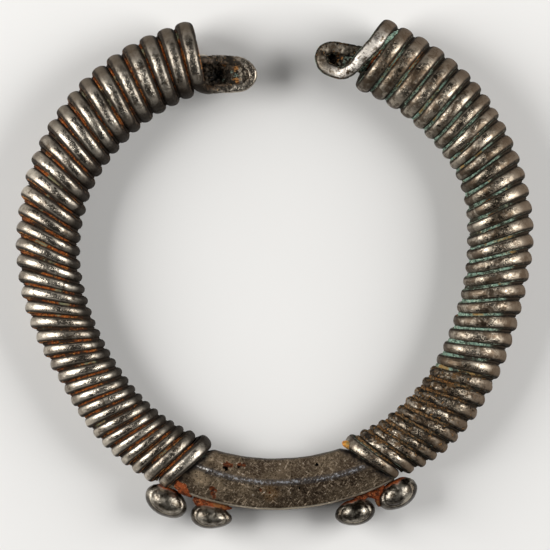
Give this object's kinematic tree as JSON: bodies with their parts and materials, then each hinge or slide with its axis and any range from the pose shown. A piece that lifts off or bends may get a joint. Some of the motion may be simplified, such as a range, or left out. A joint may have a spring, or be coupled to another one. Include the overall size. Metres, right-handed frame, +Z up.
{
  "type": "coiled bracelet",
  "caption": "Ancient silver open bracelet: a ridged bar wound with tapering wires that end in loops, with oval knobs beside the bare stretch.",
  "frame": {"origin": "middle of the bracelet's bounding box on the surface that it lies on", "axes": "+Z up through the ring, +Y towards the gap between the two loops, +X to the right looking down"},
  "size_m": [0.0848, 0.083, 0.0112],
  "materials": {
    "bar_silver": "tarnished, brushed and pitted silver",
    "left_wire_silver": "worn silver with orange brown corrosion in the grooves",
    "right_wire_silver": "worn silver with green and brown corrosion in the grooves",
    "knob_silver": "polished silver with tarnish"
  },
  "bodies": {
    "root": {"core_bar": "bar_silver", "left_winding": "left_wire_silver", "right_winding": "right_wire_silver", "left_side_knob": "knob_silver", "left_bar_knob": "knob_silver", "right_side_knob": "knob_silver", "right_bar_knob": "knob_silver"}
  },
  "joints": []
}
